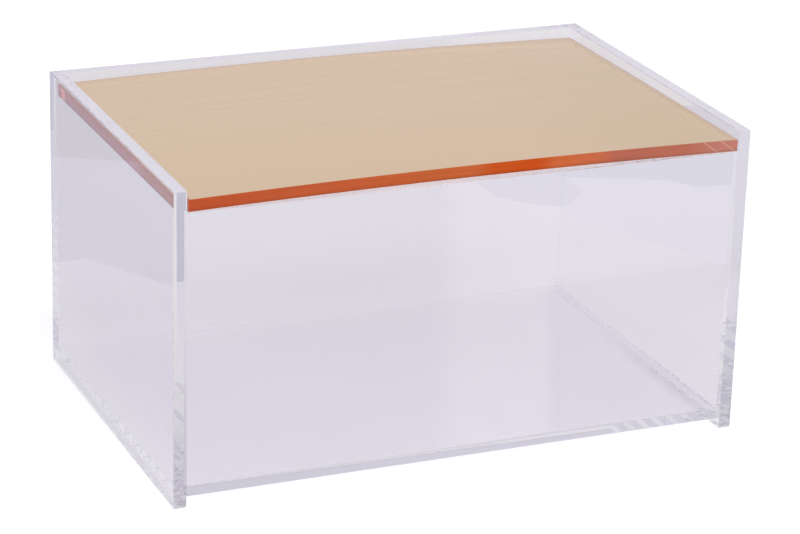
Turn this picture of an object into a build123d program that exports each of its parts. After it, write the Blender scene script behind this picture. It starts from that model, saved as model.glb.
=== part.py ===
# Storage box of clear acrylic sheets with a gold mirror lid that swings on two pins.
# Millimetres, +Z up, the front faces -Y, and the origin is under the middle of the box, on the table.
from build123d import *
import os

# Outer size of the box
box_width = 230.0
box_depth = 152.4
box_height = 122.4

# Clear sheets
side_thickness = 5.0
front_thickness = 5.0
back_thickness = 5.0
bottom_thickness = 3.0
foot_height = 4.4
edge_ease = 0.3

# Lid: a dyed sheet with a mirror coat under it, sunk below the tops of the side panels.
# The sheet is bowed, so its middle stands higher than its side edges by the crown.
lid_thickness = 4.8
coat_thickness = 0.2
lid_crown = 1.6
lid_drop = 3.25
lid_side_gap = 0.4
lid_rear_gap = 1.3
lid_rest_gap = 0.15

# Hinge pins
pin_diameter = 2.5
pin_reach = 6.0
pin_chamfer = 0.3
pin_setback = 8.5
pin_running_gap = 0.05
pin_end_gap = 0.5

# Where the sheets stand
inner_width = box_width - 2 * side_thickness
inner_depth = box_depth - front_thickness - back_thickness
back_inner_y = box_depth / 2 - back_thickness
lid_edge_top_z = box_height - lid_drop
lid_edge_under_z = lid_edge_top_z - lid_thickness
coat_edge_top_z = lid_edge_under_z + coat_thickness
front_top_z = lid_edge_under_z - lid_rest_gap
lid_width = inner_width - 2 * lid_side_gap
lid_rear_y = back_inner_y - lid_rear_gap
lid_depth = lid_rear_y + box_depth / 2
pin_y = back_inner_y - pin_setback
pin_z = lid_edge_top_z - lid_thickness / 2
pin_length = side_thickness + lid_side_gap + pin_reach
lid_bore_diameter = pin_diameter + 2 * pin_running_gap
lid_bore_depth = pin_reach + pin_end_gap

os.makedirs("parts", exist_ok=True)

# Side panels: full depth and height, standing on their lower edges, bored through for the pins
for side_name, side in (("left", -1), ("right", 1)):
    with BuildPart() as side_panel:
        with BuildSketch(Plane.YZ.offset(side * box_width / 2)):
            with Locations((0, box_height / 2)):
                Rectangle(box_depth, box_height)
        extrude(amount=-side * side_thickness)
        outer_face = side_panel.faces().sort_by(Axis.X, reverse=side > 0)[0]
        chamfer(outer_face.edges(), edge_ease)
        with BuildSketch(Plane.YZ.offset(side * box_width / 2)):
            with Locations((pin_y, pin_z)):
                Circle(pin_diameter / 2)
        extrude(amount=-side * side_thickness, mode=Mode.SUBTRACT)
    side_panel.part.label = side_name + "_panel"
    export_step(side_panel.part, "parts/" + side_panel.part.label + ".step")

# Bottom panel: a thinner sheet held between the four upright ones, raised by the foot height
with BuildPart() as bottom_panel:
    with BuildSketch(Plane.XY.offset(foot_height)):
        Rectangle(inner_width, inner_depth)
    extrude(amount=bottom_thickness)
bottom_panel.part.label = "bottom_panel"
export_step(bottom_panel.part, "parts/bottom_panel.step")

# Front panel: level with the underside of the bottom panel, and stops just under the lid
with BuildPart() as front_panel:
    with BuildSketch(Plane.XZ.offset(box_depth / 2)):
        with Locations((0, (foot_height + front_top_z) / 2)):
            Rectangle(inner_width, front_top_z - foot_height)
    extrude(amount=-front_thickness)
    front_top_edges = front_panel.edges().group_by(Axis.Z)[-1].filter_by(Axis.X)
    front_foot_edge = front_panel.edges().group_by(Axis.Z)[0].sort_by(Axis.Y)[0]
    chamfer([*front_top_edges, front_foot_edge], edge_ease)
front_panel.part.label = "front_panel"
export_step(front_panel.part, "parts/front_panel.step")

# Back panel: level with the underside of the bottom panel, and rises to the tops of the side panels
with BuildPart() as back_panel:
    with BuildSketch(Plane.XZ.offset(-box_depth / 2)):
        with Locations((0, (foot_height + box_height) / 2)):
            Rectangle(inner_width, box_height - foot_height)
    extrude(amount=back_thickness)
    back_top_edges = back_panel.edges().group_by(Axis.Z)[-1].filter_by(Axis.X)
    back_foot_edge = back_panel.edges().group_by(Axis.Z)[0].sort_by(Axis.Y)[-1]
    chamfer([*back_top_edges, back_foot_edge], edge_ease)
back_panel.part.label = "back_panel"
export_step(back_panel.part, "parts/back_panel.step")

# Outline of one bowed layer of the lid, across its width, from the heights of its side edges
def bowed_layer(edge_top_z, edge_under_z):
    half = lid_width / 2
    with BuildSketch(Plane.XZ.offset(-lid_rear_y)) as layer:
        with BuildLine():
            ThreePointArc((-half, edge_top_z), (0, edge_top_z + lid_crown), (half, edge_top_z))
            Line((half, edge_top_z), (half, edge_under_z))
            ThreePointArc((half, edge_under_z), (0, edge_under_z + lid_crown), (-half, edge_under_z))
            Line((-half, edge_under_z), (-half, edge_top_z))
        make_face()
    return layer.sketch


# Lid: the dyed sheet, with a blind bore in each side edge for its pin
sheet_outline = bowed_layer(lid_edge_top_z, coat_edge_top_z)
with BuildPart() as lid_sheet:
    extrude(sheet_outline, amount=lid_depth)
    lid_top_face = lid_sheet.faces().sort_by(Axis.Z)[-1]
    chamfer(lid_top_face.edges(), edge_ease)
    for side in (-1, 1):
        with BuildSketch(Plane.YZ.offset(side * lid_width / 2)):
            with Locations((pin_y, pin_z)):
                Circle(lid_bore_diameter / 2)
        extrude(amount=-side * lid_bore_depth, mode=Mode.SUBTRACT)
lid_sheet.part.label = "lid_sheet"
export_step(lid_sheet.part, "parts/lid_sheet.step")

# Mirror coat: a thin layer all over the lid's underside
coat_outline = bowed_layer(coat_edge_top_z, lid_edge_under_z)
with BuildPart() as lid_mirror_backing:
    extrude(coat_outline, amount=lid_depth)
lid_mirror_backing.part.label = "lid_mirror_backing"
export_step(lid_mirror_backing.part, "parts/lid_mirror_backing.step")

# Hinge pins: pushed in from outside, flush with the side panels, each with its inner end chamfered
for side_name, side in (("left", -1), ("right", 1)):
    with BuildPart() as hinge_pin:
        with BuildSketch(Plane.YZ.offset(side * box_width / 2)):
            with Locations((pin_y, pin_z)):
                Circle(pin_diameter / 2)
        extrude(amount=-side * pin_length)
        pin_tip = hinge_pin.edges().sort_by(Axis.X, reverse=side < 0)[0]
        chamfer(pin_tip, pin_chamfer)
    hinge_pin.part.label = side_name + "_hinge_pin"
    export_step(hinge_pin.part, "parts/" + hinge_pin.part.label + ".step")
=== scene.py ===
# Clear acrylic storage box with a sunk gold mirror lid: its looks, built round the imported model.
import math

import bmesh
import bpy
from mathutils import Matrix, Vector


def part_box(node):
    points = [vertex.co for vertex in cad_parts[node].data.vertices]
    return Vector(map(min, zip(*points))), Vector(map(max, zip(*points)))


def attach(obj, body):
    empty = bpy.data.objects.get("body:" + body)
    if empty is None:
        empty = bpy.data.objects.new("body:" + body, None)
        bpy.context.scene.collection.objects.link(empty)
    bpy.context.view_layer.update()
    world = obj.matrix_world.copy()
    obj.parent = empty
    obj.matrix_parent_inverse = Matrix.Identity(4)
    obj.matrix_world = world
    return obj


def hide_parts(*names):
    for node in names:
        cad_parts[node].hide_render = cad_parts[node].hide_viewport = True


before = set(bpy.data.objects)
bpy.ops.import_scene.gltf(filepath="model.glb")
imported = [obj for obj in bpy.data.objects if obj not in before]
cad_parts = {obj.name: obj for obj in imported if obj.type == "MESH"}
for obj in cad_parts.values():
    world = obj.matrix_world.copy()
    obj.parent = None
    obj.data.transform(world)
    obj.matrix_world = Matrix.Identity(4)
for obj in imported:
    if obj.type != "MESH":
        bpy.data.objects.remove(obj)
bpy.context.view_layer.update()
print("frame loaded:", sorted(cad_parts))

closeTo = 0.000001   # two places nearer than this are one
white = (1.0, 1.0, 1.0)


def newObject(name, data):
    made = bpy.data.objects.new(name, data)
    bpy.context.scene.collection.objects.link(made)
    return made


# Camera at the photograph's place, angle and framing
cameraSet = {
    "place": (-0.438568, -1.028169, 0.474151),
    "azimuth": 23.3312,
    "elevation": 20.6167,
    "roll": 1.6929,
    "lens": 136.4075,
    "sensor": 36.0,
    "clipStart": 0.01,
}


def makeCamera(cfg):
    azimuth = math.radians(cfg["azimuth"])
    elevation = math.radians(cfg["elevation"])
    roll = math.radians(cfg["roll"])
    forward = Vector((math.sin(azimuth) * math.cos(elevation),
                      math.cos(azimuth) * math.cos(elevation),
                      -math.sin(elevation)))
    level = Vector((math.cos(azimuth), -math.sin(azimuth), 0.0))
    upward = level.cross(forward)
    across = level * math.cos(roll) + upward * math.sin(roll)
    above = upward * math.cos(roll) - level * math.sin(roll)
    data = bpy.data.cameras.new("studioCamera")
    data.lens = cfg["lens"]
    data.sensor_fit = "HORIZONTAL"
    data.sensor_width = cfg["sensor"]
    data.clip_start = cfg["clipStart"]
    camera = newObject("studioCamera", data)
    turned = Matrix((across, above, -forward)).transposed().to_4x4()
    camera.matrix_world = Matrix.Translation(cfg["place"]) @ turned
    bpy.context.scene.camera = camera


makeCamera(cameraSet)
print("camera set")


# Small helpers for node trees: each value is a number, a colour, a vector or the socket that gives it
def link(tree, source, target):
    tree.links.new(source, target)


def feed(tree, value, socket):
    if isinstance(value, (int, float)):
        socket.default_value = value
    elif isinstance(value, tuple):
        socket.default_value = (*value, 1.0) if socket.type == "RGBA" else value
    else:
        link(tree, value, socket)


def addNode(tree, kind, values=None, **settings):
    node = tree.nodes.new(kind)
    for name, setting in settings.items():
        setattr(node, name, setting)
    for name, value in (values or {}).items():
        feed(tree, value, node.inputs[name])
    return node


def calc(tree, operation, *values):
    return addNode(tree, "ShaderNodeMath", dict(enumerate(values)), operation=operation).outputs[0]


def mixColors(tree, factor, first, second, blend="MIX"):
    values = {0: factor, 6: first, 7: second}   # the sockets that a Mix node uses for colours
    return addNode(tree, "ShaderNodeMix", values, data_type="RGBA", blend_type=blend).outputs[2]


def tintWhere(tree, mask, color, tint):
    return mixColors(tree, mask, color, mixColors(tree, 1.0, color, tint, "MULTIPLY"))


def rangeOf(tree, value, start, end, low=0.0, high=1.0, kind="LINEAR"):
    node = addNode(tree, "ShaderNodeMapRange", {"Value": value, "From Min": start, "From Max": end,
                                                "To Min": low, "To Max": high}, interpolation_type=kind)
    return node.outputs["Result"]


def smoothRange(tree, value, start, end, low=0.0):
    return rangeOf(tree, value, start, end, low, kind="SMOOTHSTEP")


def rampOf(tree, factor, stops, easing="LINEAR"):
    node = addNode(tree, "ShaderNodeValToRGB", {"Fac": factor})
    node.color_ramp.interpolation = easing
    places = node.color_ramp.elements
    for stop, (position, color) in zip((places[0], places[1]), (stops[0], stops[-1])):
        stop.position = position
        stop.color = (*color, 1.0)
    for position, color in stops[1:-1]:
        places.new(position).color = (*color, 1.0)
    return node.outputs["Color"]


def placeOf(tree, kind="Object"):
    return addNode(tree, "ShaderNodeTexCoord").outputs[kind]


def splitOf(tree, vector):
    return addNode(tree, "ShaderNodeSeparateXYZ", {0: vector}).outputs


def noiseOf(tree, place, scale, detail, roughness=0.5, distortion=0.0):
    node = addNode(tree, "ShaderNodeTexNoise", {"Vector": place, "Scale": scale, "Detail": detail,
                                                "Roughness": roughness, "Distortion": distortion})
    return node.outputs["Fac"]


def grainOf(tree, place, stretch, detail, roughness=0.5):
    mapping = addNode(tree, "ShaderNodeMapping", {"Vector": place, "Scale": stretch})
    return noiseOf(tree, mapping.outputs["Vector"], 1.0, detail, roughness)


def bumpOf(tree, height, depth):
    return addNode(tree, "ShaderNodeBump", {"Height": height, "Distance": depth}).outputs["Normal"]


def newMaterial(name):
    material = bpy.data.materials.new(name)
    material.use_nodes = True
    tree = material.node_tree
    tree.nodes.clear()
    surface = addNode(tree, "ShaderNodeOutputMaterial").inputs["Surface"]
    return material, tree, surface


# Shared effect: uneven polish, a mask of soft smears and a faint waviness of the sheet
polishSet = {
    "smearScale": 9.0,
    "smearAmount": 0.5,
    "smearDetail": 3.0,
    "smearDistortion": 0.6,
    "smearRange": (0.52, 0.80),
    "waveScale": 14.0,
    "waveDetail": 1.0,
}


def makePolishGroup(cfg):
    group = bpy.data.node_groups.new("handPolish", "ShaderNodeTree")
    face = group.interface
    for name, start in (("Smear Scale", cfg["smearScale"]), ("Smear Amount", cfg["smearAmount"]),
                        ("Wave Scale", cfg["waveScale"])):
        socket = face.new_socket(name, in_out="INPUT", socket_type="NodeSocketFloat")
        socket.default_value = start
    for name in ("Smear", "Wave"):
        face.new_socket(name, in_out="OUTPUT", socket_type="NodeSocketFloat")
    given = addNode(group, "NodeGroupInput").outputs
    place = placeOf(group)
    smear = noiseOf(group, place, given["Smear Scale"], cfg["smearDetail"],
                    distortion=cfg["smearDistortion"])
    smear = rangeOf(group, smear, *cfg["smearRange"], high=given["Smear Amount"])
    wave = noiseOf(group, place, given["Wave Scale"], cfg["waveDetail"])
    addNode(group, "NodeGroupOutput", {"Smear": smear, "Wave": wave})
    return group


polishGroup = makePolishGroup(polishSet)


# Clear cast acrylic, polished
clearSet = {
    "tint": (0.952, 0.939, 0.968),
    "smearTint": (0.93, 0.917, 0.945),
    "index": 1.49,
    "pathEnd": 40,   # bounces after which a trapped ray runs straight on
    "lampTint": (0.90, 0.885, 0.925),
    "smearScale": 9.0,
    "waveScale": 11.0,
    "waveDepth": 0.00002,
}

# The same sheet on its sawn and polished edges, a shade darker
edgeSet = {
    "tint": (0.945, 0.925, 0.985),
    "smearTint": (0.905, 0.882, 0.95),
    "index": 1.49,
    "pathEnd": 40,
    "lampTint": (0.86, 0.84, 0.89),
    "smearScale": 60.0,
    "waveScale": 160.0,
    "waveDepth": 0.000004,
}

# The sheets' front ends, the dullest of their edges, with painted shade: darker at the foot, and darker on
# the right sheet
endSet = {
    **edgeSet,
    "tint": (0.962, 0.958, 0.938),
    "smearTint": (0.905, 0.895, 0.890),
    "index": 1.392,
    "paintedRightShade": (0.810, 0.790, 0.870),
    "paintedFootShade": (0.600, 0.580, 0.655),
    "footTop": (0.075, 0.010),   # heights between which the foot's tint sets in
    "waveDepth": 0.000008,
}

# The front sheet's upper edge, tinted pink by a painted reflection of the lid that rests on it
lipReflectionSet = {**edgeSet, "tint": (1.000, 0.800, 0.740), "smearTint": (0.960, 0.760, 0.700)}

# Welded faces are all but clear
weldSet = {"haze": (0.985, 0.983, 0.99)}

# The bottom sheet's front and right ends: a darker band that fades to the right and to the rear
seamSet = {
    "haze": (0.915, 0.914, 0.926),
    "rightHaze": (0.952, 0.950, 0.960),
    "rightRange": (-0.09, 0.00),
    "rearHaze": (0.998, 0.998, 0.999),
    "rearRange": (-0.06, -0.01),
}


# Glass to the camera, but plain and clear to the lamps, to the floor's light and to rays trapped for long
def finishClear(tree, surface, glass, lampTint, pathEnd=None):
    clear = addNode(tree, "ShaderNodeBsdfTransparent", {"Color": lampTint})
    path = addNode(tree, "ShaderNodeLightPath").outputs
    straight = calc(tree, "MAXIMUM", path["Is Shadow Ray"], path["Is Diffuse Ray"])
    if pathEnd:
        straight = calc(tree, "MAXIMUM", straight, calc(tree, "GREATER_THAN", path["Ray Depth"], pathEnd))
    mix = addNode(tree, "ShaderNodeMixShader", {0: straight, 1: glass.outputs[0], 2: clear.outputs[0]})
    link(tree, mix.outputs[0], surface)


def makeClearAcrylic(name, cfg):
    material, tree, surface = newMaterial(name)
    polish = addNode(tree, "ShaderNodeGroup", {
        "Smear Scale": cfg["smearScale"], "Wave Scale": cfg["waveScale"]}, node_tree=polishGroup)
    tint = mixColors(tree, polish.outputs["Smear"], cfg["tint"], cfg["smearTint"])
    # Painted shade: darker toward the foot, and darker on the right sheet's front end
    if "paintedFootShade" in cfg:
        at = splitOf(tree, placeOf(tree))
        right = calc(tree, "GREATER_THAN", at["X"], 0.0)
        low = smoothRange(tree, at["Z"], *cfg["footTop"])
        tint = mixColors(tree, low, mixColors(tree, right, tint, cfg["paintedRightShade"]), cfg["paintedFootShade"])
    glass = addNode(tree, "ShaderNodeBsdfPrincipled", {
        "Base Color": tint, "Roughness": 0.0, "IOR": cfg["index"], "Transmission Weight": 1.0,
        "Normal": bumpOf(tree, polish.outputs["Wave"], cfg["waveDepth"])})
    finishClear(tree, surface, glass, cfg["lampTint"], cfg["pathEnd"])
    return material


# Solvent-welded faces: no interface is left between the two sheets, only a trace of haze
def makeWeld(name, cfg):
    material, tree, surface = newMaterial(name)
    haze = cfg["haze"]
    if "rearHaze" in cfg:
        at = splitOf(tree, placeOf(tree))
        haze = mixColors(tree, smoothRange(tree, at["X"], *cfg["rightRange"]), haze, cfg["rightHaze"])
        haze = mixColors(tree, smoothRange(tree, at["Y"], *cfg["rearRange"]), haze, cfg["rearHaze"])
    glass = addNode(tree, "ShaderNodeBsdfPrincipled", {
        "Base Color": haze, "Roughness": 0.0, "IOR": 1.0, "Transmission Weight": 1.0})
    finishClear(tree, surface, glass, white)
    return material


clearAcrylic = makeClearAcrylic("clearAcrylic", clearSet)
polishedEdge = makeClearAcrylic("polishedEdge", edgeSet)
frontEnd = makeClearAcrylic("frontEnd", endSet)
lipReflectionEdge = makeClearAcrylic("lipReflectionEdge", lipReflectionSet)
weldedFace = makeWeld("weldedFace", weldSet)
seamFace = makeWeld("seamFace", seamSet)


# Gold mirror seen through the dyed sheet: faint streaks along the length, and painted shade: a little darker
# at the rim, darker toward the front, and darker and greener toward the right
goldSet = {
    "gold": (0.897, 0.681, 0.432),
    "streak": (0.867, 0.652, 0.407),
    "streakStretch": (11.0, 430.0, 60.0),
    "streakDetail": 4.0,
    "streakRoughness": 0.62,
    "streakRange": (0.35, 0.68),
    "frontShade": (0.868, 0.632, 0.390),
    "frontShadeRange": (0.01, -0.085),
    "rightShade": (0.940, 0.955, 0.920),
    "rightRange": (0.02, 0.10),
    "rightRearRange": (0.065, 0.015),
    "rimShade": (0.727, 0.537, 0.367),
    "rimShadeRange": (0.00128, 0.00048),
    "halfWidth": 0.1096,
    "rearY": 0.0699,
    "metallic": 0.85,
    "roughness": 0.16,
    "smearRoughness": 0.06,
}


def makeGoldMirror(name, cfg):
    material, tree, surface = newMaterial(name)
    place = placeOf(tree)
    at = splitOf(tree, place)
    streaks = grainOf(tree, place, cfg["streakStretch"], cfg["streakDetail"], cfg["streakRoughness"])
    color = mixColors(tree, rangeOf(tree, streaks, *cfg["streakRange"]), cfg["gold"], cfg["streak"])
    # Painted shade: darker toward the front, toward the right and at the rim
    color = mixColors(tree, smoothRange(tree, at["Y"], *cfg["frontShadeRange"]), color, cfg["frontShade"])
    toRight = calc(tree, "MULTIPLY", smoothRange(tree, at["X"], *cfg["rightRange"]),
                   smoothRange(tree, at["Y"], *cfg["rightRearRange"]))
    color = tintWhere(tree, toRight, color, cfg["rightShade"])
    fromSide = calc(tree, "SUBTRACT", cfg["halfWidth"], calc(tree, "ABSOLUTE", at["X"]))
    fromRear = calc(tree, "SUBTRACT", cfg["rearY"], at["Y"])
    nearest = calc(tree, "MINIMUM", fromSide, fromRear)
    color = mixColors(tree, rangeOf(tree, nearest, *cfg["rimShadeRange"]), color, cfg["rimShade"])
    polish = addNode(tree, "ShaderNodeGroup", node_tree=polishGroup)
    rough = calc(tree, "MULTIPLY_ADD", polish.outputs["Smear"], cfg["smearRoughness"], cfg["roughness"])
    shine = addNode(tree, "ShaderNodeBsdfPrincipled", {
        "Base Color": color, "Metallic": cfg["metallic"], "Roughness": rough})
    link(tree, shine.outputs[0], surface)
    return material


# Dyed body of the lid, seen on its edges: the glow of light carried inside the sheet is painted, as emission
# and as colour
dyedSet = {
    # Painted glow and shade along the front edge, from left to right
    "stops": ((0.0, (0.417, 0.066, 0.017)), (0.23, (0.417, 0.077, 0.022)), (0.50, (0.443, 0.092, 0.022)),
              (0.545, (0.440, 0.062, 0.003)), (0.615, (0.465, 0.056, 0.001)), (0.66, (0.492, 0.103, 0.028)),
              (0.71, (0.470, 0.109, 0.038)), (0.78, (0.373, 0.103, 0.065)), (0.88, (0.390, 0.116, 0.072)),
              (1.0, (0.430, 0.170, 0.130))),
    # Edges at the two sides, a painted shade darker and redder toward the front
    "side": (0.590, 0.300, 0.280),
    "sideFrontShade": (0.495, 0.195, 0.110),
    "sideFade": (-0.020, -0.042),
    "sideFacing": 0.6,
    "grainStretch": (25.0, 500.0, 700.0),
    "grainDetail": 2.0,
    "grainShade": (0.78, 1.22),
    # Shade just above the mirror coat, which follows the bow
    "lowerShade": 0.80,
    "shadeHeight": 0.0016,
    "underZ": 0.11455,
    "crown": 0.00135,
    # Two slanting pale marks near the right end
    "slantMark": (0.600, 0.330, 0.290),
    "slantMarks": (0.0985, 0.1055),
    "slantSlope": 1.35,
    "slantRange": (0.00030, 0.00009),
    "middleZ": 0.1169,
    "halfWidth": 0.1096,
    "paintedGlow": 0.10,
    "roughness": 0.12,
    "specular": 0.15,
    "index": 1.49,
}

# The walls of the bores for the pins, lit by a stronger painted glow (emission) in the side edges' colour
boreSet = {**dyedSet, "stops": ((0.0, dyedSet["side"]), (1.0, dyedSet["side"])), "paintedGlow": 0.70}


def makeDyedEdge(name, cfg):
    material, tree, surface = newMaterial(name)
    place = placeOf(tree)
    at = splitOf(tree, place)
    along = rangeOf(tree, at["X"], -cfg["halfWidth"], cfg["halfWidth"])
    grain = grainOf(tree, place, cfg["grainStretch"], cfg["grainDetail"])
    color = mixColors(tree, 1.0, rampOf(tree, along, cfg["stops"], "EASE"),
                      rangeOf(tree, grain, 0.0, 1.0, *cfg["grainShade"]), "MULTIPLY")
    for start in cfg["slantMarks"]:
        lean = calc(tree, "MULTIPLY_ADD", at["Z"], cfg["slantSlope"],
                    -start - cfg["slantSlope"] * cfg["middleZ"])
        away = calc(tree, "ABSOLUTE", calc(tree, "ADD", at["X"], lean))
        color = mixColors(tree, rangeOf(tree, away, *cfg["slantRange"]), color, cfg["slantMark"])
    facing = splitOf(tree, placeOf(tree, "Normal"))
    toSide = calc(tree, "GREATER_THAN", calc(tree, "ABSOLUTE", facing["X"]), cfg["sideFacing"])
    toFront = smoothRange(tree, at["Y"], *cfg["sideFade"])
    color = mixColors(tree, toSide, color, mixColors(tree, toFront, cfg["side"], cfg["sideFrontShade"]))
    across = calc(tree, "DIVIDE", at["X"], cfg["halfWidth"])
    fall = calc(tree, "MULTIPLY", calc(tree, "MULTIPLY", across, across), cfg["crown"])
    bow = calc(tree, "SUBTRACT", cfg["crown"], fall)
    above = calc(tree, "SUBTRACT", calc(tree, "SUBTRACT", at["Z"], bow), cfg["underZ"])
    shade = smoothRange(tree, above, 0.0, cfg["shadeHeight"], cfg["lowerShade"])
    color = mixColors(tree, 1.0, color, shade, "MULTIPLY")
    # The glow is painted: emission in the edge's own colour
    shine = addNode(tree, "ShaderNodeBsdfPrincipled", {
        "Base Color": color, "Emission Color": color, "Emission Strength": cfg["paintedGlow"],
        "Roughness": cfg["roughness"], "Specular IOR Level": cfg["specular"], "IOR": cfg["index"]})
    link(tree, shine.outputs[0], surface)
    return material


# Grey paint under the mirror coat
paintSet = {
    "dark": (0.58, 0.565, 0.59),
    "pale": (0.66, 0.645, 0.665),
    "mottleScale": 220.0,
    "mottleDetail": 5.0,
    "mottleDepth": 0.00004,
    "roughness": 0.5,
}


def makePaintedCoat(name, cfg):
    material, tree, surface = newMaterial(name)
    mottle = noiseOf(tree, placeOf(tree), cfg["mottleScale"], cfg["mottleDetail"])
    paint = addNode(tree, "ShaderNodeBsdfPrincipled", {
        "Base Color": mixColors(tree, mottle, cfg["dark"], cfg["pale"]), "Roughness": cfg["roughness"],
        "Normal": bumpOf(tree, mottle, cfg["mottleDepth"])})
    link(tree, paint.outputs[0], surface)
    return material


goldMirror = makeGoldMirror("goldMirror", goldSet)
dyedEdge = makeDyedEdge("dyedEdge", dyedSet)
dyedBore = makeDyedEdge("dyedBore", boreSet)
paintedCoat = makePaintedCoat("paintedCoat", paintSet)
print("materials made")


# Clear sheets: each is a closed box whose faces are cut where a neighbour is welded on
sheetSet = {
    "ease": 0.0003,
    "easeSteps": 2,
    "easeAngle": 1.0,
    "footInnerX": 0.1101,   # just outside the side sheets' inner faces
    "seamTopZ": 0.008,      # just above the bottom sheet
    "weldGap": 0.00001,
    "flatFacing": 0.9,
    "frontFacing": 0.5,
    "lipFacing": 0.3,
    "boreSides": 48,
    "boreOver": 0.001,
    "boreSlack": 0.00002,
}
sheetFinish = (clearAcrylic, weldedFace, seamFace, polishedEdge, frontEnd, lipReflectionEdge)
welded, seam, sawn, dull, lip = 1, 2, 3, 4, 5   # their places there, after the open faces
panelNodes = {"leftPanel": "left_panel", "rightPanel": "right_panel", "frontPanel": "front_panel",
              "backPanel": "back_panel", "bottomPanel": "bottom_panel"}
pinLow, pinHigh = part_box("left_hinge_pin")
pinY = (pinLow.y + pinHigh.y) / 2
pinZ = (pinLow.z + pinHigh.z) / 2
pinRadius = (pinHigh.z - pinLow.z) / 2


def cutBox(low, high, cuts):
    lines = []
    for axis in range(3):
        inner = [c for c in cuts[axis] if low[axis] + closeTo < c < high[axis] - closeTo]
        lines.append([low[axis], *sorted(inner), high[axis]])
    shape = bmesh.new()
    made = {}

    def corner(i, j, k):
        if (i, j, k) not in made:
            made[i, j, k] = shape.verts.new((lines[0][i], lines[1][j], lines[2][k]))
        return made[i, j, k]

    for axis in range(3):
        u, v = (axis + 1) % 3, (axis + 2) % 3
        for end in (0, len(lines[axis]) - 1):
            for i in range(len(lines[u]) - 1):
                for j in range(len(lines[v]) - 1):
                    keys = []
                    for a, b in ((0, 0), (1, 0), (1, 1), (0, 1)):
                        key = [0, 0, 0]
                        key[axis], key[u], key[v] = end, i + a, j + b
                        keys.append(corner(*key))
                    if end == 0:
                        keys.reverse()
                    shape.faces.new(keys)
    shape.normal_update()
    return shape


# Turns an object's modifiers into a plain mesh
def settleMesh(target):
    bpy.context.view_layer.update()
    graph = bpy.context.evaluated_depsgraph_get()
    finished = bpy.data.meshes.new_from_object(target.evaluated_get(graph))
    target.modifiers.clear()
    target.data = finished


def boreSheet(sheet, radius, sides, fromX, toX):
    cutter = bmesh.new()
    bmesh.ops.create_cone(cutter, cap_ends=True, segments=sides, radius1=radius, radius2=radius,
                          depth=abs(toX - fromX))
    turn = Matrix.Translation(((fromX + toX) / 2, pinY, pinZ)) @ Matrix.Rotation(math.pi / 2, 4, "Y")
    bmesh.ops.transform(cutter, matrix=turn, verts=cutter.verts)
    data = bpy.data.meshes.new("borer")
    cutter.to_mesh(data)
    cutter.free()
    tool = newObject("borer", data)
    modifier = sheet.modifiers.new("bore", "BOOLEAN")
    modifier.operation = "DIFFERENCE"
    modifier.solver = "EXACT"
    modifier.object = tool
    settleMesh(sheet)
    bpy.data.objects.remove(tool)


def finishSheet(name, shape, materials):
    data = bpy.data.meshes.new(name)
    shape.to_mesh(data)
    shape.free()
    for material in materials:
        data.materials.append(material)
    return newObject(name, data)


def declare(piece, body, slot, *nodes):
    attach(piece, body)
    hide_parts(*nodes)


def isWelded(middle, axis, own, boxes):
    for name, (low, high) in boxes.items():
        if name == own:
            continue
        onPlane = min(abs(middle[axis] - low[axis]), abs(middle[axis] - high[axis])) < closeTo
        inside = all(low[i] < middle[i] < high[i] for i in range(3) if i != axis)
        if onPlane and inside:
            return True
    return False


# Welds that show as darker bands: at the bottom sheet's front end and at its right end
def isDuller(middle, axis, cfg):
    return (axis == 1 and middle.y < 0) or (axis == 0 and middle.x > 0 and middle.z < cfg["seamTopZ"])


# Free edges that are eased: a side sheet's but for the inside of its foot, and the others' long ones
def isEased(name, edge, cfg):
    along = edge.verts[0].co - edge.verts[1].co
    if name in ("leftPanel", "rightPanel"):
        return not all(vert.co.z < closeTo and abs(vert.co.x) < cfg["footInnerX"] for vert in edge.verts)
    return abs(along.x) > max(abs(along.y), abs(along.z))


def makePanel(name, boxes, cfg):
    low, high = boxes[name]
    cuts = [sorted({round(end[axis], 7) for ends in boxes.values() for end in ends}) for axis in range(3)]
    shape = cutBox(low, high, cuts)
    weldedAt = set()
    for face in shape.faces:
        axis = max(range(3), key=lambda i: abs(face.normal[i]))
        middle = face.calc_center_median()
        if isWelded(middle, axis, name, boxes):
            face.material_index = seam if isDuller(middle, axis, cfg) else welded
            weldedAt.add((axis, 1 if face.normal[axis] > 0 else -1))
    free = [e for e in shape.edges if e.calc_face_angle() > cfg["easeAngle"]
            and all(f.material_index == 0 for f in e.link_faces) and isEased(name, e, cfg)]
    bmesh.ops.bevel(shape, geom=free, offset=cfg["ease"], segments=cfg["easeSteps"], profile=0.5,
                    affect="EDGES", clamp_overlap=True)
    shape.normal_update()
    thin = min(range(3), key=lambda i: high[i] - low[i])
    for face in shape.faces:
        if face.material_index == 0 and abs(face.normal[thin]) < cfg["flatFacing"]:
            upward = name == "frontPanel" and face.normal.z > cfg["lipFacing"]
            forward = face.normal.y < -cfg["frontFacing"]
            face.material_index = lip if upward else dull if forward else sawn
    # A side that is welded all over stands back by the weld's gap, so that no two faces share a plane
    whole = [(axis, sign) for axis, sign in weldedAt
             if all(face.material_index in (welded, seam) for face in shape.faces
                    if face.normal[axis] * sign > cfg["flatFacing"])]
    for vert in shape.verts:
        for axis, sign in whole:
            edge = high[axis] if sign > 0 else low[axis]
            if abs(vert.co[axis] - edge) < closeTo:
                vert.co[axis] -= sign * cfg["weldGap"]
    sheet = finishSheet(name, shape, sheetFinish)
    if name in ("leftPanel", "rightPanel"):
        radius = pinRadius + cfg["weldGap"]
        boreSheet(sheet, radius, cfg["boreSides"], low.x - cfg["boreOver"], high.x + cfg["boreOver"])
        for face in sheet.data.polygons:
            spots = [sheet.data.vertices[v].co for v in face.vertices]
            if all(abs(math.hypot(c.y - pinY, c.z - pinZ) - radius) < cfg["boreSlack"] for c in spots):
                face.material_index = welded
    declare(sheet, "box", "clear_acrylic", panelNodes[name])


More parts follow.
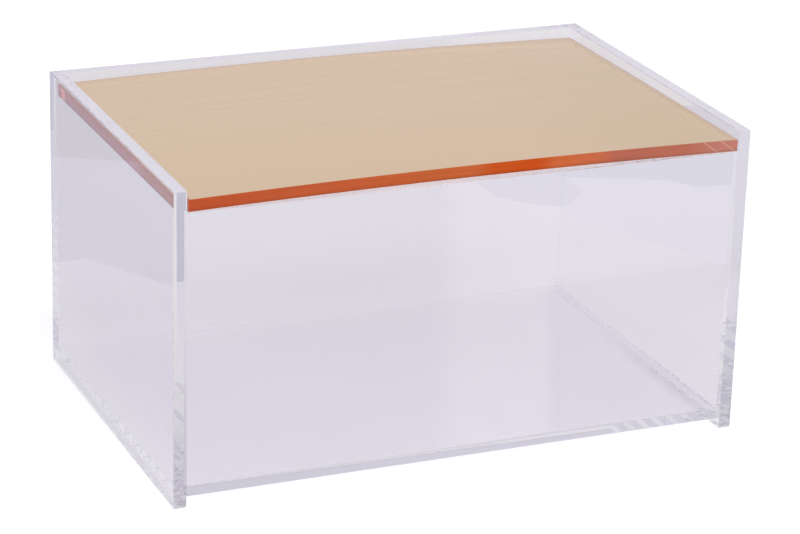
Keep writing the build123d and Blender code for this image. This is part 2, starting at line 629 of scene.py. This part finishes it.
def makePanels(cfg):
    boxes = {name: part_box(node) for name, node in panelNodes.items()}
    for name in panelNodes:
        makePanel(name, boxes, cfg)


makePanels(sheetSet)
print("clear panels made")


# Hinge pins: clear rods, welded into the side panels, their inner ends chamfered
pinSet = {"sides": 48, "chamfer": 0.0003}


def makePin(name, node, panel, side, cfg):
    low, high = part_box(node)
    panelLow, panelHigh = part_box(panel)
    outer, inner, panelInner = (high.x, low.x, panelLow.x) if side > 0 else (low.x, high.x, panelHigh.x)
    rings = [(outer, pinRadius), (panelInner, pinRadius),
             (inner + side * cfg["chamfer"], pinRadius), (inner, pinRadius - cfg["chamfer"])]
    turns = [2 * math.pi * i / cfg["sides"] for i in range(cfg["sides"])]
    shape = bmesh.new()
    loops = []
    for x, radius in rings:
        loops.append([shape.verts.new((x, pinY + radius * math.cos(turn), pinZ + radius * math.sin(turn)))
                      for turn in turns])
    for number, (first, second) in enumerate(zip(loops, loops[1:])):
        for i in range(cfg["sides"]):
            j = (i + 1) % cfg["sides"]
            face = shape.faces.new((first[i], first[j], second[j], second[i]))
            face.material_index = welded if number == 0 else 0
    shape.faces.new(loops[0])
    shape.faces.new(loops[-1])
    bmesh.ops.recalc_face_normals(shape, faces=shape.faces)
    pin = finishSheet(name, shape, (clearAcrylic, weldedFace))
    declare(pin, "box", "pin_acrylic", node)


makePin("leftPin", "left_hinge_pin", "left_panel", -1, pinSet)
makePin("rightPin", "right_hinge_pin", "right_panel", 1, pinSet)
print("pins made")


# A Geometry Nodes tree with named inputs, what it is given and where its geometry leaves
def newGeometryTree(name, inputs):
    tree = bpy.data.node_groups.new(name, "GeometryNodeTree")
    face = tree.interface
    face.new_socket("Geometry", in_out="INPUT", socket_type="NodeSocketGeometry")
    for kind, labels in inputs:
        for label in labels:
            face.new_socket(label, in_out="INPUT", socket_type="NodeSocket" + kind)
    face.new_socket("Geometry", in_out="OUTPUT", socket_type="NodeSocketGeometry")
    given = addNode(tree, "NodeGroupInput").outputs
    leave = addNode(tree, "NodeGroupOutput").inputs["Geometry"]
    return tree, given, leave


def endTree(tree, geometry, finish, leave):
    real = addNode(tree, "GeometryNodeRealizeInstances", {"Geometry": geometry})
    coated = addNode(tree, "GeometryNodeSetMaterial", {
        "Geometry": real.outputs["Geometry"], "Material": finish})
    link(tree, coated.outputs["Geometry"], leave)


def growMesh(name, tree, values):
    host = newObject(name, bpy.data.meshes.new(name))
    modifier = host.modifiers.new(name, "NODES")
    modifier.node_group = tree
    for item in tree.interface.items_tree:
        if item.item_type == "SOCKET" and item.in_out == "INPUT" and item.name in values:
            modifier[item.identifier] = values[item.name]
    settleMesh(host)
    return host


# Lid: a bowed sheet from one Geometry Nodes tree, for the dyed sheet and for the coat under it
lidSet = {
    "thickness": 0.0046,
    "coatThickness": 0.0002,
    "crown": 0.00135,
    "rearDroop": 0.0002,
    "cornerDroop": 0.0006,
    "pointsAcross": 65,
    "pointsDeep": 33,
    "ease": 0.0003,
    "easeSteps": 2,
    "easeAngle": 1.0,
    "creaseAngle": 0.3,
    "upperFacing": 0.7,
    "topFacing": 0.97,
    "frontEaseFacing": (-0.2, 0.5),
    "boreRadius": 0.0013,
    "boreDepth": 0.0065,
    "boreSides": 48,
    "boreOver": 0.001,
    "boreSlack": 0.00001,
}
lidFinish = (goldMirror, dyedEdge, dyedBore)
lidTop, lidEdge, lidBore = 0, 1, 2   # their places there


def makeBowedTree(cfg):
    tree, given, leave = newGeometryTree("bowedSheet", (
        ("Float", ("Width", "Depth", "Thickness", "Under", "Middle Y", "Crown", "Rear Droop",
                   "Corner Droop")),
        ("Material", ("Finish",))))
    size = addNode(tree, "ShaderNodeCombineXYZ", {
        "X": given["Width"], "Y": given["Depth"], "Z": given["Thickness"]})
    slab = addNode(tree, "GeometryNodeMeshCube", {
        "Size": size.outputs[0], "Vertices X": cfg["pointsAcross"], "Vertices Y": cfg["pointsDeep"]})
    at = splitOf(tree, addNode(tree, "GeometryNodeInputPosition").outputs[0])
    across = calc(tree, "DIVIDE", calc(tree, "MULTIPLY", at["X"], 2.0), given["Width"])
    bow = calc(tree, "MULTIPLY", given["Crown"],
               calc(tree, "SUBTRACT", 1.0, calc(tree, "MULTIPLY", across, across)))
    toRear = calc(tree, "ADD", calc(tree, "DIVIDE", at["Y"], given["Depth"]), 0.5)
    toRight = calc(tree, "MULTIPLY_ADD", across, 0.5, 0.5)
    rearPart = calc(tree, "MULTIPLY", toRear, toRear)
    corner = calc(tree, "MULTIPLY", calc(tree, "MULTIPLY", toRight, toRight), given["Corner Droop"])
    droop = calc(tree, "MULTIPLY", rearPart, calc(tree, "ADD", corner, given["Rear Droop"]))
    lift = calc(tree, "ADD", calc(tree, "MULTIPLY", given["Thickness"], 0.5), given["Under"])
    height = calc(tree, "ADD", lift, calc(tree, "SUBTRACT", bow, droop))
    shift = addNode(tree, "ShaderNodeCombineXYZ", {"Y": given["Middle Y"], "Z": height})
    move = addNode(tree, "GeometryNodeSetPosition", {
        "Geometry": slab.outputs["Mesh"], "Offset": shift.outputs[0]})
    endTree(tree, move.outputs["Geometry"], given["Finish"], leave)
    return tree


def makeLid(cfg):
    low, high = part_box("lid_sheet")
    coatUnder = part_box("lid_mirror_backing")[0].z
    tree = makeBowedTree(cfg)
    shared = {"Width": high.x - low.x, "Depth": high.y - low.y, "Middle Y": (high.y + low.y) / 2,
              "Crown": cfg["crown"], "Rear Droop": cfg["rearDroop"], "Corner Droop": cfg["cornerDroop"]}
    sheet = growMesh("lidSheet", tree, {**shared, "Thickness": cfg["thickness"], "Under": low.z,
                                        "Finish": goldMirror})
    shape = bmesh.new()
    shape.from_mesh(sheet.data)
    bmesh.ops.remove_doubles(shape, verts=shape.verts, dist=closeTo)

    def edgesPast(angle):
        return [e for e in shape.edges if len(e.link_faces) == 2 and e.calc_face_angle() > angle]

    upper = [e for e in edgesPast(cfg["easeAngle"])
             if any(f.normal.z > cfg["upperFacing"] for f in e.link_faces)]
    bmesh.ops.bevel(shape, geom=upper, offset=cfg["ease"], segments=cfg["easeSteps"], profile=0.5,
                    affect="EDGES")
    shape.normal_update()
    easeY, easeZ = cfg["frontEaseFacing"]
    for part in shape.faces:
        part.smooth = True
        isFrontEase = part.normal.y < easeY and part.normal.z > easeZ   # gold as the top is
        part.material_index = lidTop if isFrontEase or part.normal.z > cfg["topFacing"] else lidEdge
    for edge in edgesPast(cfg["creaseAngle"]):
        edge.smooth = False
    sheet.data.materials.clear()
    for material in lidFinish:
        sheet.data.materials.append(material)
    shape.to_mesh(sheet.data)
    shape.free()
    for side in (-1, 1):
        edgeX = side * (high.x - low.x) / 2
        boreSheet(sheet, cfg["boreRadius"], cfg["boreSides"],
                  edgeX - side * cfg["boreDepth"], edgeX + side * cfg["boreOver"])
    for part in sheet.data.polygons:
        fromAxis = math.hypot(part.center.y - pinY, part.center.z - pinZ)
        if fromAxis < cfg["boreRadius"] + cfg["boreSlack"]:
            part.material_index = lidBore
    declare(sheet, "lid", "dyed_acrylic", "lid_sheet")
    coat = growMesh("lidCoat", tree, {**shared, "Thickness": cfg["coatThickness"], "Under": coatUnder,
                                      "Finish": paintedCoat})
    declare(coat, "lid", "mirror_coat", "lid_mirror_backing")


makeLid(lidSet)
print("lid made")


# Small bubbles left in the cement at the bottom sheet's left and right ends
bubbleSet = {
    "radius": 0.00045,
    "smallest": 0.30,
    "flatness": 0.35,
    "scatterY": 0.0015,
    "scatterZ": 0.0009,
    "subdivisions": 2,
    "pale": (0.99, 0.98, 1.00),
    "dull": (0.66, 0.63, 0.74),
    "patchScale": 700.0,
    "patchDetail": 1.0,
    "patchRange": (0.40, 0.56),
    "paintedGlow": 0.16,
    "roughness": 0.25,
    "rows": (("leftBubbles", -0.1100, 130, 11), ("rightBubbles", 0.1100, 60, 12)),   # x, count and seed
    "frontY": -0.0700,
    "rearY": 0.0700,
    "middleZ": 0.0044,
}


# Beads with a painted glow (emission), pale or dull at random
def makePearlyBubble(name, cfg):
    material, tree, surface = newMaterial(name)
    patch = noiseOf(tree, placeOf(tree), cfg["patchScale"], cfg["patchDetail"])
    color = mixColors(tree, rangeOf(tree, patch, *cfg["patchRange"]), cfg["dull"], cfg["pale"])
    shine = addNode(tree, "ShaderNodeBsdfPrincipled", {
        "Base Color": color, "Emission Color": color, "Emission Strength": cfg["paintedGlow"],
        "Roughness": cfg["roughness"]})
    link(tree, shine.outputs[0], surface)
    return material


def makeBubbleTree(cfg):
    tree, given, leave = newGeometryTree("cementBubbles", (
        ("Vector", ("Start", "End", "Scatter", "Flatness")), ("Float", ("Radius", "Smallest")),
        ("Int", ("Count", "Seed")), ("Material", ("Finish",))))
    row = addNode(tree, "GeometryNodeMeshLine", {
        "Count": given["Count"], "Start Location": given["Start"], "Offset": given["End"]}, mode="END_POINTS")
    stray = addNode(tree, "FunctionNodeRandomValue", {
        0: (-1.0, -1.0, -1.0), 1: (1.0, 1.0, 1.0), "Seed": given["Seed"]}, data_type="FLOAT_VECTOR")
    spread = addNode(tree, "ShaderNodeVectorMath", {0: stray.outputs[0], 1: given["Scatter"]},
                     operation="MULTIPLY")
    move = addNode(tree, "GeometryNodeSetPosition", {
        "Geometry": row.outputs["Mesh"], "Offset": spread.outputs[0]})
    bead = addNode(tree, "GeometryNodeMeshIcoSphere", {
        "Radius": given["Radius"], "Subdivisions": cfg["subdivisions"]})
    size = addNode(tree, "FunctionNodeRandomValue", {
        2: given["Smallest"], 3: 1.0, "Seed": given["Seed"]}, data_type="FLOAT")
    flat = addNode(tree, "ShaderNodeVectorMath", {0: given["Flatness"], "Scale": size.outputs[1]},
                   operation="SCALE")
    beads = addNode(tree, "GeometryNodeInstanceOnPoints", {
        "Points": move.outputs["Geometry"], "Instance": bead.outputs["Mesh"], "Scale": flat.outputs[0]})
    endTree(tree, beads.outputs["Instances"], given["Finish"], leave)
    return tree


def makeBubbles(cfg):
    material = makePearlyBubble("pearlyBubble", cfg)
    tree = makeBubbleTree(cfg)
    for name, x, count, seed in cfg["rows"]:
        bubbles = growMesh(name, tree, {
            "Start": (x, cfg["frontY"], cfg["middleZ"]), "End": (x, cfg["rearY"], cfg["middleZ"]),
            "Scatter": (0.0, cfg["scatterY"], cfg["scatterZ"]), "Flatness": (cfg["flatness"], 1.0, 1.0),
            "Radius": cfg["radius"], "Smallest": cfg["smallest"], "Count": count, "Seed": seed,
            "Finish": material})
        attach(bubbles, "box")


makeBubbles(bubbleSet)
print("bubbles made")


# Floor, backdrop and world: plain and pale where the camera sees them, shaded where the acrylic does
stageSet = {
    "floorSize": 24.0,
    "floorColor": (0.80, 0.79, 0.82),
    "whiteLift": 0.42,
    "throughShare": 0.80,
    # Shade of the floor from front to rear, by y
    "throughStops": ((-0.090, (0.928, 0.921, 0.932)), (-0.072, (0.924, 0.917, 0.930)),
                     (-0.045, (0.886, 0.878, 0.900)), (0.004, (0.881, 0.873, 0.895)),
                     (0.062, (0.862, 0.854, 0.877)), (0.094, (0.850, 0.842, 0.866)),
                     (0.130, (0.821, 0.813, 0.838)), (0.180, (0.832, 0.824, 0.849)),
                     (0.240, (0.812, 0.804, 0.829))),
    # Light band that runs aslant under the box and leans to the right toward the rear
    "bandLift": (1.080, 1.080, 1.072),
    "bandLean": (0.4413, 0.4743),
    "bandStart": (0.016, 0.036),
    "bandEnd": (0.067, 0.0745),
    "bandRear": (0.115, 0.075),
    # Shade right of the box, and under the front half of its right side
    "rightShade": (0.965, 0.965, 0.965),
    "rightRange": (0.115, 0.1185),
    "rightRear": (0.115, 0.07),
    "rightUnder": (0.108, 0.116),
    "rightUnderRear": (0.05, -0.03),
    # Shade left of the box
    "leftShade": (0.695, 0.665, 0.765),
    "leftRange": (-0.106, -0.152),
    # Shades along the inside of the feet and speckled ones under them
    "boxHalfDepth": 0.0765,
    "footShade": (0.800, 0.790, 0.820),
    "footRange": (0.104, 0.110),
    "footEnd": 0.1101,
    "footRear": (0.05, -0.03),
    "underShade": (0.700, 0.690, 0.740),
    "underMiddle": 0.1127,
    "underHalf": 0.0026,
    "underRear": (0.035, -0.035),
    "speckleScale": 330.0,
    "speckleDetail": 1.0,
    "speckleRange": (0.40, 0.60),
    # World: its light, and what the acrylic shows of it at the rear, at the front and above
    "worldLight": 0.60,
    "worldSeen": (0.700, 0.686, 0.755),
    "worldFront": (0.860, 0.850, 0.890),
    "worldFrontRange": (0.1, -0.5),
    "worldAbove": (0.560, 0.548, 0.600),
    "worldAboveRange": (0.45, 0.80),
}


# The floor's colour where it is seen in or through the acrylic
def shadeFloor(tree, cfg):
    place = placeOf(tree)
    at = splitOf(tree, place)
    x, y = at["X"], at["Y"]
    sideways = calc(tree, "ABSOLUTE", x)
    low, high = cfg["throughStops"][0][0], cfg["throughStops"][-1][0]
    stops = [((spot - low) / (high - low), color) for spot, color in cfg["throughStops"]]
    seen = rampOf(tree, rangeOf(tree, y, low, high), stops)

    start, end = (calc(tree, "MULTIPLY_ADD", y, -lean, x) for lean in cfg["bandLean"])
    pastBand = calc(tree, "MULTIPLY", smoothRange(tree, end, *cfg["bandEnd"]),
                    smoothRange(tree, y, *cfg["bandRear"]))
    band = calc(tree, "MULTIPLY", smoothRange(tree, start, *cfg["bandStart"]),
                calc(tree, "SUBTRACT", 1.0, pastBand))
    seen = tintWhere(tree, band, seen, cfg["bandLift"])

    underRight = calc(tree, "MULTIPLY", smoothRange(tree, x, *cfg["rightUnder"]),
                      smoothRange(tree, y, *cfg["rightUnderRear"]))
    right = calc(tree, "MAXIMUM", underRight, smoothRange(tree, x, *cfg["rightRange"]))
    right = calc(tree, "MULTIPLY", right, smoothRange(tree, y, *cfg["rightRear"]))
    seen = tintWhere(tree, right, seen, cfg["rightShade"])
    seen = mixColors(tree, smoothRange(tree, x, *cfg["leftRange"]), seen, cfg["leftShade"])

    besideBox = calc(tree, "LESS_THAN", calc(tree, "ABSOLUTE", y), cfg["boxHalfDepth"])
    foot = calc(tree, "MULTIPLY", smoothRange(tree, sideways, *cfg["footRange"]),
                calc(tree, "LESS_THAN", sideways, cfg["footEnd"]))
    inFront = calc(tree, "MAXIMUM", calc(tree, "LESS_THAN", x, 0.0), smoothRange(tree, y, *cfg["footRear"]))
    foot = calc(tree, "MULTIPLY", foot, inFront)
    seen = tintWhere(tree, calc(tree, "MULTIPLY", foot, besideBox), seen, cfg["footShade"])

    under = calc(tree, "MULTIPLY", calc(tree, "COMPARE", sideways, cfg["underMiddle"], cfg["underHalf"]),
                 smoothRange(tree, y, *cfg["underRear"]))
    speckle = noiseOf(tree, place, cfg["speckleScale"], cfg["speckleDetail"])
    under = calc(tree, "MULTIPLY", under, smoothRange(tree, speckle, *cfg["speckleRange"]))
    return tintWhere(tree, calc(tree, "MULTIPLY", under, besideBox), seen, cfg["underShade"])


def makeFloor(cfg):
    data = bpy.data.meshes.new("studioFloor")
    half = cfg["floorSize"] / 2
    corners = [(-half, -half, 0), (half, -half, 0), (half, half, 0), (-half, half, 0)]
    data.from_pydata(corners, [], [(0, 1, 2, 3)])
    floor = newObject("studioFloor", data)
    material, tree, surface = newMaterial("paleFloor")
    path = addNode(tree, "ShaderNodeLightPath").outputs
    base = addNode(tree, "ShaderNodeBsdfDiffuse", {"Color": cfg["floorColor"]})
    lift = addNode(tree, "ShaderNodeEmission", {
        "Color": white, "Strength": calc(tree, "MULTIPLY", path["Is Camera Ray"], cfg["whiteLift"])})
    direct = addNode(tree, "ShaderNodeAddShader", {0: base.outputs[0], 1: lift.outputs[0]})
    through = addNode(tree, "ShaderNodeEmission", {"Color": shadeFloor(tree, cfg)})
    mirrored = calc(tree, "MAXIMUM", path["Is Glossy Ray"], path["Is Transmission Ray"])
    share = calc(tree, "MULTIPLY", mirrored, cfg["throughShare"])
    mix = addNode(tree, "ShaderNodeMixShader", {0: share, 1: direct.outputs[0], 2: through.outputs[0]})
    link(tree, mix.outputs[0], surface)
    data.materials.append(material)


# Emission cards laid on the floor behind the box, seen only in and through the acrylic, that paint shade,
# shadow and light there: corners in millimetres
shadeAndLightCards = [
    {"name": "leftCard", "color": (0.550, 0.535, 0.645), "height": 0.0004,
     "corners": ((-140, 182), (-162, 182), (-215, 85), (-420, 85), (-420, 500), (-140, 500))},
    {"name": "leftFarCard", "color": (0.435, 0.415, 0.480), "height": 0.0008,
     "corners": ((-150, 342), (-300, 258), (-420, 258), (-420, 500), (-150, 500))},
    {"name": "rightCard", "color": (0.850, 0.840, 0.890), "height": 0.0004,
     "corners": ((165, 158), (186, 120), (202, 87), (600, 87), (600, 300), (165, 300))},
    {"name": "rightFarCard", "color": (0.745, 0.755, 0.815), "height": 0.0008,
     "corners": ((258, 182), (241, 184), (233, 197), (218, 204), (182, 219), (182, 300), (600, 300),
                 (600, 182))},
    {"name": "rearCard", "color": (0.790, 0.785, 0.845), "height": 0.0006,
     "corners": ((140, 204), (155, 186), (170, 180), (186, 196), (186, 300), (137, 300))},
]


def makeShadeAndLightCards(cards):
    for cfg in cards:
        data = bpy.data.meshes.new(cfg["name"])
        spots = [(x / 1000, y / 1000, cfg["height"]) for x, y in cfg["corners"]]
        data.from_pydata(spots, [], [tuple(range(len(spots)))])
        card = newObject(cfg["name"], data)
        material, tree, surface = newMaterial(cfg["name"])
        link(tree, addNode(tree, "ShaderNodeEmission", {"Color": cfg["color"]}).outputs[0], surface)
        data.materials.append(material)
        card.visible_camera = False
        card.visible_diffuse = False
        card.visible_shadow = False


def makeWorld(cfg):
    world = bpy.data.worlds.new("studioWorld")
    bpy.context.scene.world = world
    world.use_nodes = True
    tree = world.node_tree
    tree.nodes.clear()
    path = addNode(tree, "ShaderNodeLightPath").outputs
    mirrored = calc(tree, "MAXIMUM", path["Is Glossy Ray"], path["Is Transmission Ray"])
    at = splitOf(tree, placeOf(tree, "Generated"))
    seen = mixColors(tree, smoothRange(tree, at["Y"], *cfg["worldFrontRange"]),
                     cfg["worldSeen"], cfg["worldFront"])
    seen = mixColors(tree, smoothRange(tree, at["Z"], *cfg["worldAboveRange"]), seen, cfg["worldAbove"])
    color = mixColors(tree, mirrored, (cfg["worldLight"],) * 3, seen)
    color = mixColors(tree, path["Is Camera Ray"], color, white)
    sky = addNode(tree, "ShaderNodeBackground", {"Color": color})
    addNode(tree, "ShaderNodeOutputWorld", {"Surface": sky.outputs[0]})


lampSet = [
    {"name": "overheadSoftbox", "place": (0.1, -0.9, 1.25), "aim": (0, 0, 0.05), "size": 0.9, "watts": 12.0},
    {"name": "leftSoftbox", "place": (-1.5, -0.7, 1.0), "aim": (0, 0, 0.06), "size": 1.2, "watts": 8.0},
]


def makeLamps(lamps):
    for cfg in lamps:
        data = bpy.data.lights.new(cfg["name"], "AREA")
        data.shape = "SQUARE"
        data.size = cfg["size"]
        data.energy = cfg["watts"]
        lamp = newObject(cfg["name"], data)
        lamp.location = cfg["place"]
        toAim = Vector(cfg["aim"]) - Vector(cfg["place"])
        lamp.rotation_euler = toAim.to_track_quat("-Z", "Y").to_euler()
        lamp.visible_glossy = False
        lamp.visible_transmission = False


makeFloor(stageSet)
makeShadeAndLightCards(shadeAndLightCards)
makeWorld(stageSet)
makeLamps(lampSet)

# Paths long enough for light that runs along inside the sheets
bounceSet = {"inGlass": 96, "diffuse": 3, "transparent": 32}

scene = bpy.context.scene
scene.view_settings.view_transform = "Standard"
scene.cycles.max_bounces = bounceSet["inGlass"]
scene.cycles.transmission_bounces = bounceSet["inGlass"]
scene.cycles.glossy_bounces = bounceSet["inGlass"]
scene.cycles.diffuse_bounces = bounceSet["diffuse"]
scene.cycles.transparent_max_bounces = bounceSet["transparent"]
print("stage, world and lamps set")
